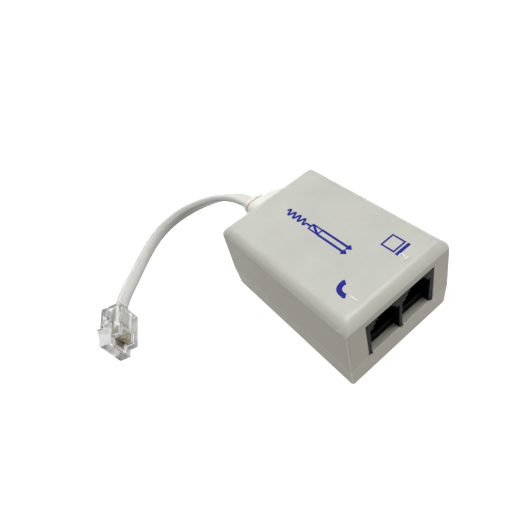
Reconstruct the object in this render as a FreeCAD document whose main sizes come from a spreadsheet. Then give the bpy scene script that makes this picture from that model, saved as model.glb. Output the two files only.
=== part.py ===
import FreeCAD, Part
import Sketcher
import math
import os
import re

# Inline telephone line filter: a two-part moulded box with a twin six-way socket in front,
# a filter circuit inside, and a short flat cord at the back that ends in a clear plug.
# Millimetres. X is the width, the sockets face -Y, Z is up, and the origin is the middle of the base.

Vector = FreeCAD.Vector
UP = Vector(0, 0, 1)

doc = FreeCAD.newDocument("line_filter")
sheet = doc.addObject("Spreadsheet::Sheet", "sizes")

SIZES = {
    # Housing
    "housing_width": 36,
    "housing_length": 50.3,
    "parting_height": 8,
    "wall": 1.8,
    "lower_draft": 1.35,
    "upper_draft": 1.68,
    "top_round": 3.0,
    "corner_round": 0.8,
    "base_chamfer": 0.4,
    "seam_chamfer": 0.15,
    "fit_gap": 0.15,
    "lip_height": 1.0,
    "lip_thickness": 0.8,
    "snap_width": 6,
    "snap_thickness": 1.1,
    "snap_reach": 5,
    "snap_hook": 0.6,
    "hook_foot": 0.5,
    "hook_height": 1.4,
    "snap_spread": 12,
    "snap_root": 6,
    "rib_thickness": 1.2,
    # Front opening and sill
    "opening_gap": 0.2,
    "sill_depth": 2.1,
    "sill_notch": 0.6,
    # Twin socket
    "socket_side": 1.1,
    "socket_depth": 15.5,
    "socket_roof": 1.15,
    "ceiling_gap": 1.7,
    "nose_recess": 0.3,
    "cavity_width": 9.9,
    "cavity_height": 6.8,
    "cavity_stand": 4.3,
    "cavity_depth": 13.9,
    "divider": 1.0,
    "notch_wide": 7.7,
    "notch_middle": 6.3,
    "notch_narrow": 4.6,
    "notch_step": 1.1,
    "notch_height": 2.85,
    "contact_pitch": 1.02,
    "contact_diameter": 0.46,
    "contact_rise": 1.7,
    "contact_clearance": 0.1,
    "contact_setback": 5.2,
    "contact_drop": 1.4018,
    "contact_bend_lean": 0.3,
    "contact_bend_rise": 1.5,
    "contact_bend_radius": 0.6,
    "contact_row": 0.4,
    "contact_stagger": 2.5,
    "socket_peg": 2.2,
    "peg_stand": 0.8,
    # Circuit board
    "board_sides": 7.4,
    "board_ends": 6.8,
    "board_thickness": 1.6,
    "board_top": 6.4,
    "post_diameter": 4.2,
    "pin_diameter": 1.6,
    "post_inset": 3.4,
    "lead_diameter": 0.6,
    "lead_hole": 0.9,
    "lead_tail": 1.2,
    "part_stand": 0.3,
    # Room that the parts on the board need
    "parts_width": 28.6,
    "parts_room": 28,
    # Filter coils
    "coil_width": 11.5,
    "coil_length": 9.6,
    "coil_height": 11.0,
    "coil_leg": 2.2,
    "coil_back": 2.0,
    "coil_seat": 0.8,
    "coil_pin_pitch": 5,
    "bobbin_wall": 0.6,
    "winding_gap": 0.3,
    "coil_spread": 13.4,
    "coil_row": 11,
    # Capacitors and resistors
    "film_width": 4.6,
    "film_length": 9.8,
    "film_height": 8.6,
    "film_pitch": 7.5,
    "film_spread": 5.5,
    "film_row": 19,
    "film_last_spread": 3.4,
    "film_last_row": 24.4,
    "resistor_diameter": 2.3,
    "resistor_length": 6.2,
    "resistor_pitch": 9.0,
    "resistor_first_row": 2.1,
    "resistor_second_row": 4.9,
    "resistor_waist": 0.86,
    "disc_diameter": 6.4,
    "disc_thickness": 2.2,
    "disc_pitch": 5,
    "disc_spread": 5.1,
    "disc_row": 23,
    # Flat cord, boot and inner leads
    "cord_width": 4.8,
    "cord_thickness": 2.4,
    "boot_offset": 4,
    "boot_rise": 6.2,
    "boot_root_width": 16.5,
    "boot_root_height": 9.4,
    "boot_length": 11.4,
    "boot_rim_offset": 0.3,
    "boot_rim_width": 6.6,
    "boot_rim_height": 5.0,
    "boot_neck_width": 8.4,
    "boot_neck_height": 6.4,
    "boot_flange": 1.3,
    "boot_groove": 0.5,
    "boot_groove_place": 2.2,
    "boot_groove_depth": 0.6,
    "boot_softness": 0.42,
    "neck_softness": 0.3,
    "inner_lead_diameter": 0.9,
    "inner_lead_drop": 3.2,
    "lead_foot_pitch": 1.7,
    "lead_foot_shift": 1.4,
    "inner_lead_spacing": 1.15,
    "lead_foot_inset": 1.7,
    # Plug
    "plug_width": 9.65,
    "plug_length": 13.9,
    "plug_height": 6.6,
    "plug_heading": 63.2,
    "plug_lean": 10.1,
    "plug_east": -57.3,
    "plug_north": 34.0,
    "plug_chamfer": 0.5,
    "plug_clearance": 0.05,
    "plug_blade_thickness": 0.35,
    "plug_wire_diameter": 0.9,
    "blade_length": 3.4,
    "blade_recess": 0.6,
    "blade_crown": 1.1,
    "blade_shoulder": 0.3,
    "cord_pocket": 5.6,
    "mouth_depth": 1.2,
    "nose_step_length": 2.5,
    "nose_step_height": 2.6,
    "nose_wall": 0.9,
    "wire_drop": 0.1,
    "clamp_width": 6,
    "clamp_length": 2.2,
    "clamp_depth": 1.5,
    "clamp_place": 1.5,
    "press_width": 4.8,
    "press_length": 1.4,
    "press_depth": 1.9,
    "press_place": 5.2,
    "latch_thickness": 1.0,
    "latch_root": 0.6,
    "latch_root_length": 1.3,
    "latch_shoulder": 2.8,
    "latch_reach": 8.6,
    "latch_tip": 2.4,
    "latch_overhang": 1.7,
    "latch_width": 6.0,
    "latch_grip_width": 3.25,
}

# Sizes that follow from the driving ones
DERIVED = {
    "opening_width": "socket_width + 2 * opening_gap",
    "cavity_ceiling": "board_top + cavity_stand + cavity_height",
    "opening_top": "cavity_ceiling + notch_height + fit_gap",
    "socket_width": "2 * cavity_width + divider + 2 * socket_side",
    "socket_top": "opening_top - fit_gap + socket_roof",
    "housing_height": "socket_top + ceiling_gap + wall",
    "board_width": "housing_width - board_sides",
    "board_length": "housing_length - board_ends",
    "boot_height": "parting_height + boot_rise",
    "crosswise": "board_width / parts_width",
    "lengthwise": "(board_length - socket_depth) / parts_room",
    "squeeze": "min(1; crosswise; lengthwise)",
}

# Sizes that shrink where a smaller box leaves less board
SQUEEZED = {
    "post_diameter", "post_inset", "coil_width", "coil_length", "coil_leg", "coil_back", "coil_pin_pitch",
    "bobbin_wall", "film_width", "film_length", "film_pitch", "resistor_diameter", "resistor_length",
    "resistor_pitch", "disc_diameter", "disc_thickness", "disc_pitch", "lead_foot_inset",
}

for row, (alias, size) in enumerate(SIZES.items(), start=1):
    sheet.set(f"A{row}", alias)
    sheet.set(f"B{row}", str(size))
    sheet.setAlias(f"B{row}", alias)
doc.recompute()


def from_sheet(match):
    word = match.group()
    if word in DERIVED:
        return f"({bound(DERIVED[word])})"
    if word in SQUEEZED:
        return f"(sizes.{word} * {bound('squeeze')})"
    return f"sizes.{word}" if word in SIZES else word


def bound(text):
    """The expression with every size read from the sheet or worked out from it."""
    return re.sub(r"[a-z][a-z_0-9]*", from_sheet, str(text))


def number(text):
    """What an expression comes to now, as a plain number."""
    result = sheet.evalExpression(bound(text))
    return float(getattr(result, "Value", result))


# Places that several pieces share
HALF_WIDTH = "housing_width / 2"
HALF_LENGTH = "housing_length / 2"
LOW_LEAN = "tan(lower_draft * 1 deg)"
HIGH_LEAN = "tan(upper_draft * 1 deg)"
FRONT = f"(0 - {HALF_LENGTH})"
SILL_BACK = f"({FRONT} + sill_depth)"
SOCKET_FRONT = f"({SILL_BACK} + fit_gap)"
SOCKET_BACK = f"({SOCKET_FRONT} + socket_depth)"
NOSE_FRONT = f"({FRONT} + nose_recess)"
CAVITY_BACK = f"({NOSE_FRONT} + cavity_depth)"
CAVITY_FLOOR = "(cavity_ceiling - cavity_height)"
CAVITY_MIDDLE = "((cavity_width + divider) / 2)"
NOSE_TOP = "(opening_top - fit_gap)"
BOARD_BOTTOM = "(board_top - board_thickness)"
BOARD_FRONT = f"({SOCKET_FRONT})"
BOARD_BACK = f"({BOARD_FRONT} + board_length)"
INNER_X = f"({HALF_WIDTH} - wall)"
INNER_Y = f"({HALF_LENGTH} - wall)"
SNAP_LOW = "(parting_height - snap_reach)"
SNAP_FACE = f"({INNER_X} - snap_reach * {LOW_LEAN} - fit_gap)"
CONTACT_BEND = f"({NOSE_FRONT} + contact_setback)"
CONTACT_CHANNEL = f"({CAVITY_FLOOR} - contact_drop)"
WIRE_LEVEL = "(0 - wire_drop)"
BLADE_FRONT = "(0 - plug_length / 2 + nose_step_length + plug_clearance)"
FLANGE_TOP = "(boot_height + boot_neck_height / 2 + boot_flange)"
BACK_INSIDE = f"({HALF_LENGTH} - wall - ({FLANGE_TOP} - parting_height) * {HIGH_LEAN})"


def bind(item, **expressions):
    for prop, text in expressions.items():
        item.setExpression(prop, bound(text))
    return item


def column(place):
    """An X on the board, measured from the middle and spread with the board."""
    return f"({place} * crosswise)"


def line(place):
    """A Y on the board, measured from the back of the socket and spread with the board."""
    return f"({SOCKET_BACK} + {place} * lengthwise)"


def put(item, x="0", y="0", z="0"):
    for axis, text in zip("xyz", (x, y, z)):
        item.setExpression(f".Placement.Base.{axis}", bound(text))
    return item


def box(name, x, y, z):
    """A block between two expressions along each axis."""
    item = doc.addObject("Part::Box", name)
    bind(item, Length=f"({x[1]}) - ({x[0]})", Width=f"({y[1]}) - ({y[0]})", Height=f"({z[1]}) - ({z[0]})")
    return put(item, x[0], y[0], z[0])


TURNS = {
    "X": FreeCAD.Rotation(Vector(0, 1, 0), 90),
    "Y": FreeCAD.Rotation(Vector(1, 0, 0), -90),
    "Z": FreeCAD.Rotation(),
}


def rod(name, diameter, length, at, axis="Z"):
    """A cylinder that starts at a place and runs along an axis."""
    item = doc.addObject("Part::Cylinder", name)
    bind(item, Radius=f"({diameter}) / 2", Height=length)
    item.Placement.Rotation = TURNS[axis]
    return put(item, *at)


def joined(name, parts):
    if len(parts) == 1:
        return parts[0]
    item = doc.addObject("Part::MultiFuse", name)
    item.Shapes = parts
    return item


def less(name, base, tools):
    item = doc.addObject("Part::Cut", name)
    item.Base = base
    item.Tool = joined(f"{name}_tools", tools)
    return item


def group(name, parts):
    """Separate solids that belong together, such as a row of contacts."""
    item = doc.addObject("Part::Compound", name)
    item.Links = parts
    return item


def origin_plane(body, role):
    return next(feature for feature in body.Origin.OriginFeatures if feature.Role == role)


def outline(body, name, role, points, lift="0"):
    """A closed sketch of straight edges whose corners are bound to the sheet."""
    sketch = body.newObject("Sketcher::SketchObject", name)
    sketch.AttachmentSupport = (origin_plane(body, role), [""])
    sketch.MapMode = "FlatFace"
    sketch.setExpression("AttachmentOffset.Base.z", bound(lift))
    corners = [Vector(number(x), number(y), 0) for x, y in points]
    count = len(corners)
    for k in range(count):
        sketch.addGeometry(Part.LineSegment(corners[k], corners[(k + 1) % count]), False)
    for k in range(count):
        sketch.addConstraint(Sketcher.Constraint("Coincident", k, 2, (k + 1) % count, 1))
    for k, point in enumerate(points):
        for kind, text, now in zip(("DistanceX", "DistanceY"), point, (corners[k].x, corners[k].y)):
            index = sketch.addConstraint(Sketcher.Constraint(kind, -1, 1, k, 1, now))
            sketch.setExpression(f"Constraints[{index}]", bound(text))
    return sketch


def rectangle(body, name, role, half_x, half_y, lift="0"):
    low_x, low_y = f"0 - ({half_x})", f"0 - ({half_y})"
    points = [(low_x, low_y), (half_x, low_y), (half_x, half_y), (low_x, half_y)]
    return outline(body, name, role, points, lift)


def pad(body, name, sketch, length, reverse=False, taper=None):
    feature = body.newObject("PartDesign::Pad", name)
    feature.Profile = sketch
    feature.Reversed = reverse
    bind(feature, Length=length)
    if taper:
        bind(feature, TaperAngle=taper)
    return feature


def upright_edges(shape):
    low, high = shape.BoundBox.ZMin, shape.BoundBox.ZMax
    span = 0.9 * (high - low)
    return [k for k, e in enumerate(shape.Edges, start=1) if abs(e.Vertexes[0].Z - e.Vertexes[-1].Z) > span]


def level_edges(shape, height):
    return [k for k, e in enumerate(shape.Edges, start=1)
            if all(abs(v.Z - height) < 1e-6 for v in e.Vertexes)]


def rounded(name, base, radii):
    """The base with edges rounded, given as pairs of edge numbers and a size."""
    item = doc.addObject("Part::Fillet", name)
    item.Base = base
    item.Edges = [(edge, number(size), number(size)) for edges, size in radii for edge in edges]
    return item


def drafted_block(name, half_x, half_y, start, length, reverse, taper):
    """A block that narrows away from the height where it starts."""
    body = doc.addObject("PartDesign::Body", name)
    sketch = rectangle(body, f"{name}_plan", "XY_Plane", half_x, half_y, start)
    pad(body, f"{name}_pad", sketch, length, reverse, f"0 - {taper}")
    doc.recompute()
    return body


def bent_path(points, radii=None):
    """A wire of straight runs joined by tangent arcs, and its arc radii."""
    edges = []
    made = []
    start = points[0]
    for k in range(1, len(points) - 1):
        before, corner, after = points[k - 1], points[k], points[k + 1]
        into, out = corner - before, after - corner
        turn = into.getAngle(out)
        shorter = min(into.Length, out.Length)
        radius = radii[k - 1] if radii else 0.45 * shorter / math.tan(turn / 2)
        back = radius * math.tan(turn / 2)
        into, out = Vector(into).normalize(), Vector(out).normalize()
        first, last = corner - into * back, corner + out * back
        inward = (out - into).normalize()
        middle = corner + inward * (radius / math.cos(turn / 2) - radius)
        edges.append(Part.LineSegment(start, first).toShape())
        edges.append(Part.Arc(first, middle, last).toShape())
        made.append(round(radius, 2))
        start = last
    edges.append(Part.LineSegment(start, points[-1]).toShape())
    return Part.Wire(edges), made


def round_wire(points, diameter, radii=None):
    """A round wire along a bent path, from the first point to the last."""
    path, made = bent_path(points, radii)
    heading = (points[1] - points[0]).normalize()
    section = Part.Wire([Part.makeCircle(diameter / 2, points[0], heading)])
    return path.makePipeShell([section], True, True)


def feature(name, shape):
    item = doc.addObject("Part::Feature", name)
    item.Shape = shape
    return item


# Lower shell


def lower_shell():
    outer = drafted_block("lower_block", HALF_WIDTH, HALF_LENGTH, "parting_height", "parting_height", True,
                          "lower_draft")
    doc.recompute()
    form = doc.addObject("Part::Fillet", "lower_form")
    form.Base = outer
    form.Edges = [(edge, number("corner_round"), number("corner_round")) for edge in upright_edges(outer.Shape)]
    doc.recompute()
    chamfered = doc.addObject("Part::Chamfer", "lower_base")
    chamfered.Base = form
    chamfered.Edges = ([(edge, number("base_chamfer"), number("base_chamfer"))
                        for edge in level_edges(form.Shape, 0)] + seam_edges(form.Shape))
    hollow = drafted_block("lower_hollow", INNER_X, INNER_Y, "parting_height", "parting_height - wall", True,
                           "lower_draft")
    tray = less("lower_tray", chamfered, [hollow])
    parts = [tray, sill(), lip_ring(), boot_tongue()] + board_posts()
    whole = joined("lower_whole", parts)
    return less("lower_shell", whole, sill_notches() + snap_recesses())


def seam_edges(shape):
    """The rim at the parting line, with the size of its fine chamfer."""
    size = number("seam_chamfer")
    return [(edge, size, size) for edge in level_edges(shape, number("parting_height"))]


def sill():
    """The rib behind the front wall that carries the mouth of the socket."""
    half = "opening_width / 2"
    return box("lower_sill", (f"0 - {half}", half), (f"{FRONT} + wall / 2", SILL_BACK),
               ("board_top + fit_gap", "parting_height"))


def sill_notches():
    """Three narrow notches that take the front edges of the socket's upright walls."""
    walls = socket_walls()
    return [box(f"sill_notch_{k}", (f"{low} - fit_gap", f"{high} + fit_gap"), (f"{FRONT} - 1", SOCKET_FRONT),
                ("parting_height - sill_notch - fit_gap", "parting_height + 1"))
            for k, (low, high) in enumerate(walls, start=1)]


def socket_walls():
    """The left wall, the divider and the right wall of the socket, as pairs of X."""
    half = "(socket_width / 2)"
    inner = "(divider / 2 + cavity_width)"
    return [(f"0 - {half}", f"0 - {inner}"), ("0 - divider / 2", "divider / 2"), (inner, half)]


def lip_ring():
    """A low tongue on the rim that locates the upper shell, open at the socket and at the boot."""
    outer_x, outer_y = f"({INNER_X} + lip_thickness)", f"({INNER_Y} + lip_thickness)"
    span = ("parting_height - wall", "parting_height + lip_height")
    ring = less("lip_ring", box("lip_outer", (f"0 - {outer_x}", outer_x), (f"0 - {outer_y}", outer_y), span),
                [box("lip_inner", (f"0 - {INNER_X}", INNER_X), (f"0 - {INNER_Y}", INNER_Y),
                     ("0", "housing_height")),
                 box("lip_front_gap", ("0 - opening_width / 2 - wall / 2", "opening_width / 2 + wall / 2"),
                     (f"{FRONT} - 1", "0"), ("0", "housing_height")),
                 box("lip_back_gap", ("boot_offset - boot_neck_width / 2 - fit_gap",
                                      "boot_offset + boot_neck_width / 2 + fit_gap"),
                     ("0", f"{HALF_LENGTH} + 1"), ("0", "housing_height"))])
    return ring


def boot_tongue():
    """Fills the slot of the upper shell below the boot's neck and clamps it."""
    half = "(boot_neck_width / 2 - fit_gap)"
    return box("boot_tongue", (f"boot_offset - {half}", f"boot_offset + {half}"),
               (f"{BACK_INSIDE} + fit_gap", f"{HALF_LENGTH} - (boot_height - parting_height) * {HIGH_LEAN}"),
               ("parting_height - wall", "boot_height - boot_neck_height / 2"))


def post_places():
    across = "(board_width / 2 - post_inset)"
    back = f"({BOARD_BACK} - post_inset)"
    front = f"({SOCKET_BACK} + post_inset)"
    return [(f"{side} * {across}", y) for side in ("-1", "1") for y in (front, back)]


def board_posts():
    posts = []
    for k, (x, y) in enumerate(post_places(), start=1):
        foot = (x, y, "wall / 2")
        posts.append(rod(f"board_post_{k}", "post_diameter", f"{BOARD_BOTTOM} - wall / 2", foot))
        posts.append(rod(f"board_pin_{k}", "pin_diameter", "board_top + peg_stand - wall / 2", foot))
    return posts


def snap_places():
    return [(side, y) for side in ("-1", "1") for y in ("0 - snap_spread", "snap_spread")]


def mirrored(side, near, far):
    """Two places across the width, low first, on the left or the right side."""
    if side == "-1":
        return f"0 - ({far})", f"0 - ({near})"
    return near, far


def snap_recesses():
    """Blind pockets in the side walls for the hooks of the upper shell."""
    recesses = []
    for k, (side, y) in enumerate(snap_places(), start=1):
        recesses.append(box(f"snap_recess_{k}",
                            mirrored(side, f"{INNER_X} - 1", f"{SNAP_FACE} + snap_hook + fit_gap"),
                            (f"{y} - snap_width / 2 - fit_gap", f"{y} + snap_width / 2 + fit_gap"),
                            (f"{SNAP_LOW} + hook_foot - fit_gap",
                             f"{SNAP_LOW} + hook_foot + hook_height + fit_gap")))
    return recesses


# Upper shell


def upper_shell():
    outer = drafted_block("upper_block", HALF_WIDTH, HALF_LENGTH, "parting_height",
                          "housing_height - parting_height", False, "upper_draft")
    form = rounded("upper_form", outer, [(level_edges(outer.Shape, number("housing_height")), "top_round"),
                                         (upright_edges(outer.Shape), "corner_round")])
    doc.recompute()
    seamed = doc.addObject("Part::Chamfer", "upper_seam")
    seamed.Base = form
    seamed.Edges = seam_edges(form.Shape)
    hollow = drafted_block("upper_hollow", INNER_X, INNER_Y, "parting_height",
                           "housing_height - parting_height - wall", False, "upper_draft")
    soft_hollow = rounded("upper_room", hollow,
                          [(level_edges(hollow.Shape, number("housing_height - wall")), "top_round - wall")])
    cover = less("upper_cover", seamed, [soft_hollow, front_opening(), boot_slot(), lip_groove()])
    return joined("upper_shell", [cover] + snap_arms() + socket_ribs() + board_holders())


def front_opening():
    half = "opening_width / 2"
    return box("front_opening", (f"0 - {half}", half), (f"{FRONT} - 1", f"{FRONT} + wall * 2"),
               ("parting_height - 1", "opening_top"))


def boot_slot():
    """An arched slot, open at the parting line, for the neck of the boot."""
    half = "boot_neck_width / 2 + fit_gap"
    return box("boot_slot", (f"boot_offset - ({half})", f"boot_offset + {half}"),
               (f"{HALF_LENGTH} - wall * 2", f"{HALF_LENGTH} + 1"),
               ("parting_height - 1", "boot_height + boot_neck_height / 2 + fit_gap"))


def lip_groove():
    outer_x = f"({INNER_X} + lip_thickness + fit_gap)"
    outer_y = f"({INNER_Y} + lip_thickness + fit_gap)"
    return box("lip_groove", (f"0 - {outer_x}", outer_x), (f"0 - {outer_y}", outer_y),
               ("parting_height - 1", "parting_height + lip_height + fit_gap"))


def snap_arms():
    """Four springy arms that hang into the lower shell, each with a hook at its foot."""
    arms = []
    for k, (side, y) in enumerate(snap_places(), start=1):
        along = (f"{y} - snap_width / 2", f"{y} + snap_width / 2")
        arms.append(box(f"snap_arm_{k}", mirrored(side, f"{SNAP_FACE} - snap_thickness", SNAP_FACE), along,
                        (SNAP_LOW, "parting_height + snap_root")))
        arms.append(box(f"snap_hook_{k}", mirrored(side, f"{SNAP_FACE} - 0.2", f"{SNAP_FACE} + snap_hook"), along,
                        (f"{SNAP_LOW} + hook_foot", f"{SNAP_LOW} + hook_foot + hook_height")))
        arms.append(box(f"snap_root_{k}",
                        mirrored(side, f"{SNAP_FACE} - snap_thickness", f"{INNER_X} + wall / 4"), along,
                        ("parting_height + lip_height + fit_gap * 2", "parting_height + snap_root")))
    return arms


def socket_ribs():
    """Ribs under the ceiling that hold the socket down."""
    return [box(f"socket_rib_{k}", (f"{x} - rib_thickness / 2", f"{x} + rib_thickness / 2"),
                (f"{SOCKET_FRONT} + 2", f"{SOCKET_BACK} - 2"), ("socket_top", "housing_height - wall / 2"))
            for k, x in enumerate(("0 - socket_width / 4", "0", "socket_width / 4"), start=1)]


def board_holders():
    """Posts under the ceiling that press on the back corners of the circuit board."""
    holders = []
    for k, (x, y) in enumerate(post_places()[1::2], start=1):
        holders.append(less(f"board_holder_{k}",
                            rod(f"holder_rod_{k}", "post_diameter", "housing_height - wall / 2 - board_top",
                                (x, y, "board_top")),
                            [rod(f"holder_bore_{k}", "pin_diameter + 2 * fit_gap", "peg_stand + 2 * fit_gap",
                                 (x, y, "board_top - fit_gap"))]))
    return holders


# Places where a lead passes through the circuit board
LEAD_PLACES = []


# Twin socket


def socket_housing():
    half = "socket_width / 2"
    block = box("socket_block", (f"0 - {half}", half), (SOCKET_FRONT, SOCKET_BACK), ("board_top", "socket_top"))
    nose = box("socket_nose", (f"0 - {half}", half), (NOSE_FRONT, SOCKET_FRONT),
               ("parting_height - sill_notch", NOSE_TOP))
    tools = []
    for k, side in enumerate(("-1", "1"), start=1):
        middle = f"({side} * {CAVITY_MIDDLE})"
        tools.append(cavity(k, middle))
        tools.append(nose_mouth(k, middle))
        tools.extend(contact_slots(k, middle))
    pegs = [rod(f"socket_peg_{k}", "socket_peg", "board_thickness + peg_stand",
                (f"{side} * socket_width / 3", f"{SOCKET_FRONT} + socket_depth / 2",
                 f"{BOARD_BOTTOM} - peg_stand"))
            for k, side in enumerate(("-1", "1"), start=1)]
    return joined("socket_housing", [less("socket_form", joined("socket_solid", [block, nose]), tools)] + pegs)


def cavity(k, middle):
    """The plug space, with the stepped notch for the latch above it."""
    body = doc.addObject("PartDesign::Body", f"cavity_{k}")
    steps = [("cavity_width", "cavity_ceiling"), ("notch_wide", "cavity_ceiling + notch_step"),
             ("notch_middle", "cavity_ceiling + 2 * notch_step"), ("notch_narrow", NOSE_TOP)]
    right, left = [], []
    low = CAVITY_FLOOR
    for width, high in steps:
        right += [(f"{middle} + {width} / 2", low), (f"{middle} + {width} / 2", high)]
        left += [(f"{middle} - {width} / 2", low), (f"{middle} - {width} / 2", high)]
        low = high
    sketch = outline(body, f"cavity_outline_{k}", "XZ_Plane", right + left[::-1], f"0 - {NOSE_FRONT} + 1")
    pad(body, f"cavity_pad_{k}", sketch, "cavity_depth + 1", True)
    return body


def nose_mouth(k, middle):
    """Opens the nose below and above the plug space, so that only upright walls reach the front."""
    return box(f"nose_mouth_{k}", (f"{middle} - cavity_width / 2", f"{middle} + cavity_width / 2"),
               (f"{NOSE_FRONT} - 1", SOCKET_FRONT), ("0", "cavity_ceiling"))


def contact_xs(middle, count=4):
    return [f"({middle} + {k - (count - 1) / 2} * contact_pitch)" for k in range(count)]


def contact_slots(k, middle):
    """Comb slots in the floor where the spring contacts bend up into the plug space."""
    half = "(contact_diameter / 2 + contact_clearance)"
    slots = []
    for i, x in enumerate(contact_xs(middle), start=1):
        slots.append(box(f"contact_slot_{k}_{i}", (f"{x} - {half}", f"{x} + {half}"),
                         (f"{CONTACT_BEND} - contact_diameter * 2", f"{CAVITY_BACK} + contact_diameter * 3"),
                         ("board_top - 1", f"{CAVITY_FLOOR} + contact_rise + contact_diameter")))
    return slots


def socket_contacts(name, side):
    """Four spring wires: up from the board, forward below the floor, then back and up."""
    diameter = number("contact_diameter")
    low = number(f"{BOARD_BOTTOM} - lead_tail")
    channel = number(CONTACT_CHANNEL)
    lean, rise, radius = number("contact_bend_lean"), number("contact_bend_rise"), number("contact_bend_radius")
    pin_rows = [f"({CAVITY_BACK} - contact_row)", f"({CAVITY_BACK} - contact_row - contact_stagger)"]
    bend = number(CONTACT_BEND)
    tip = Vector(0, number(CAVITY_BACK) + diameter, number(CAVITY_FLOOR) + number("contact_rise"))
    wires = []
    for k, text in enumerate(contact_xs(f"({side} * {CAVITY_MIDDLE})")):
        x, pin_y = number(text), number(pin_rows[k % 2])
        LEAD_PLACES.append((text, pin_rows[k % 2]))
        route = [Vector(x, pin_y, low), Vector(x, pin_y, channel),
                 Vector(x, bend, channel), Vector(x, bend - lean, channel + rise), Vector(x, tip.y, tip.z)]
        wires.append(round_wire(route, diameter, [radius] * 3))
    return feature(name, Part.makeCompound(wires))


# Circuit board and its parts


def board():
    half = "board_width / 2"
    plate = box("board_plate", (f"0 - {half}", half), (BOARD_FRONT, BOARD_BACK), (BOARD_BOTTOM, "board_top"))
    holes = []
    for k, (x, y) in enumerate(post_places(), start=1):
        holes.append(rod(f"board_hole_{k}", "pin_diameter + 2 * fit_gap", "board_thickness + 2",
                         (x, y, f"{BOARD_BOTTOM} - 1")))
    for k, side in enumerate(("-1", "1"), start=1):
        holes.append(rod(f"peg_hole_{k}", "socket_peg + 2 * fit_gap", "board_thickness + 2",
                         (f"{side} * socket_width / 3", f"{SOCKET_FRONT} + socket_depth / 2",
                          f"{BOARD_BOTTOM} - 1")))
    for k, (x, y) in enumerate(LEAD_PLACES, start=1):
        holes.append(rod(f"lead_hole_{k}", "lead_hole", "board_thickness + 2", (x, y, f"{BOARD_BOTTOM} - 1")))
    return less("circuit_board", plate, holes)


def lead(name, x, y, top):
    """A round lead through the board, whose place the board drills as well."""
    LEAD_PLACES.append((x, y))
    low = f"({BOARD_BOTTOM} - lead_tail)"
    return rod(name, "lead_diameter", f"{top} - {low}", (x, y, low))


def coil(k, middle_x):
    """A filter coil: a ferrite frame with a middle leg, a flanged bobbin on that leg, and the winding."""
    y = line("coil_row")
    base = "(board_top + coil_seat)"
    low_x, high_x = f"({middle_x} - coil_width / 2)", f"({middle_x} + coil_width / 2)"
    low_y, high_y = f"({y} - coil_length / 2)", f"({y} + coil_length / 2)"
    top = f"({base} + coil_height)"
    shell = box(f"core_block_{k}", (low_x, high_x), (f"{y} - coil_leg", f"{y} + coil_leg"), (base, top))
    window = box(f"core_window_{k}", (f"{low_x} + coil_back", f"{high_x} - coil_back"), (low_y, high_y),
                 (f"{base} + coil_back", f"{top} - coil_back"))
    leg = box(f"core_leg_{k}", (f"{middle_x} - coil_leg / 2", f"{middle_x} + coil_leg / 2"),
              (f"{y} - coil_leg / 2", f"{y} + coil_leg / 2"),
              (f"{base} + coil_back / 2", f"{top} - coil_back / 2"))
    core = joined(f"coil_core_{k}", [less(f"core_frame_{k}", shell, [window]), leg])
    room_low, room_high = f"({base} + coil_back + fit_gap / 2)", f"({top} - coil_back - fit_gap / 2)"
    tube_half = "(coil_leg / 2 + fit_gap / 2)"
    spool_diameter = f"(2 * ({tube_half} * sqrt(2) + bobbin_wall))"
    spool = rod(f"bobbin_tube_{k}", spool_diameter, f"{room_high} - {room_low}", (middle_x, y, room_low))
    flange_half_x = "(coil_width / 2 - coil_back - fit_gap)"
    flanges = [box(f"bobbin_flange_{k}_{n}", (f"{middle_x} - {flange_half_x}", f"{middle_x} + {flange_half_x}"),
                   (low_y, high_y), span)
               for n, span in enumerate(((room_low, f"{room_low} + bobbin_wall"),
                                         (f"{room_high} - bobbin_wall", room_high)), start=1)]
    shaft = box(f"bobbin_hole_{k}", (f"{middle_x} - {tube_half}", f"{middle_x} + {tube_half}"),
                (f"{y} - {tube_half}", f"{y} + {tube_half}"), ("0", "housing_height"))
    feet = [box(f"bobbin_foot_{k}_{n}", (f"{middle_x} - {flange_half_x}", f"{middle_x} + {flange_half_x}"), span,
                ("board_top", f"{room_low} + bobbin_wall"))
            for n, span in enumerate(((low_y, f"{y} - coil_leg - fit_gap"),
                                      (f"{y} + coil_leg + fit_gap", high_y)), start=1)]
    foot_reach = "(coil_length / 2 - lead_diameter)"
    pins = [lead(f"coil_pin_{k}_{n}", f"({middle_x} + {dx} * coil_pin_pitch / 2)", f"({y} + {dy} * {foot_reach})",
                 "board_top + coil_seat / 2")
            for n, (dx, dy) in enumerate(((-1, -1), (1, -1), (-1, 1), (1, 1)), start=1)]
    bobbin = less(f"coil_bobbin_{k}", joined(f"bobbin_solid_{k}", [spool] + flanges + feet), [shaft] + pins)
    winding = less(f"coil_winding_{k}",
                   rod(f"winding_body_{k}", "coil_width - 2 * coil_back - 2 * winding_gap",
                       f"{room_high} - {room_low} - 2 * bobbin_wall - fit_gap",
                       (middle_x, y, f"{room_low} + bobbin_wall + fit_gap / 2")),
                   [rod(f"winding_bore_{k}", spool_diameter, "housing_height", (middle_x, y, "0"))])
    return core, bobbin, winding, pins


def film_capacitor(k, x, y):
    """A boxed film capacitor on two leads, its upright edges rounded."""
    top = "board_top + part_stand + film_height"
    body = box(f"film_box_{k}", (f"{x} - film_length / 2", f"{x} + film_length / 2"),
               (f"{y} - film_width / 2", f"{y} + film_width / 2"), ("board_top + part_stand", top))
    doc.recompute()
    soft = rounded(f"film_form_{k}", body, [(upright_edges(body.Shape), "film_width / 5"),
                                            (level_edges(body.Shape, number(top)), "film_width / 8")])
    leads = [lead(f"film_lead_{k}_{n}", f"({x} + {side} * film_pitch / 2)", y,
                  "board_top + part_stand + lead_diameter / 4")
             for n, side in enumerate(("-1", "1"), start=1)]
    return joined(f"film_capacitor_{k}", [soft] + leads)


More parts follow.
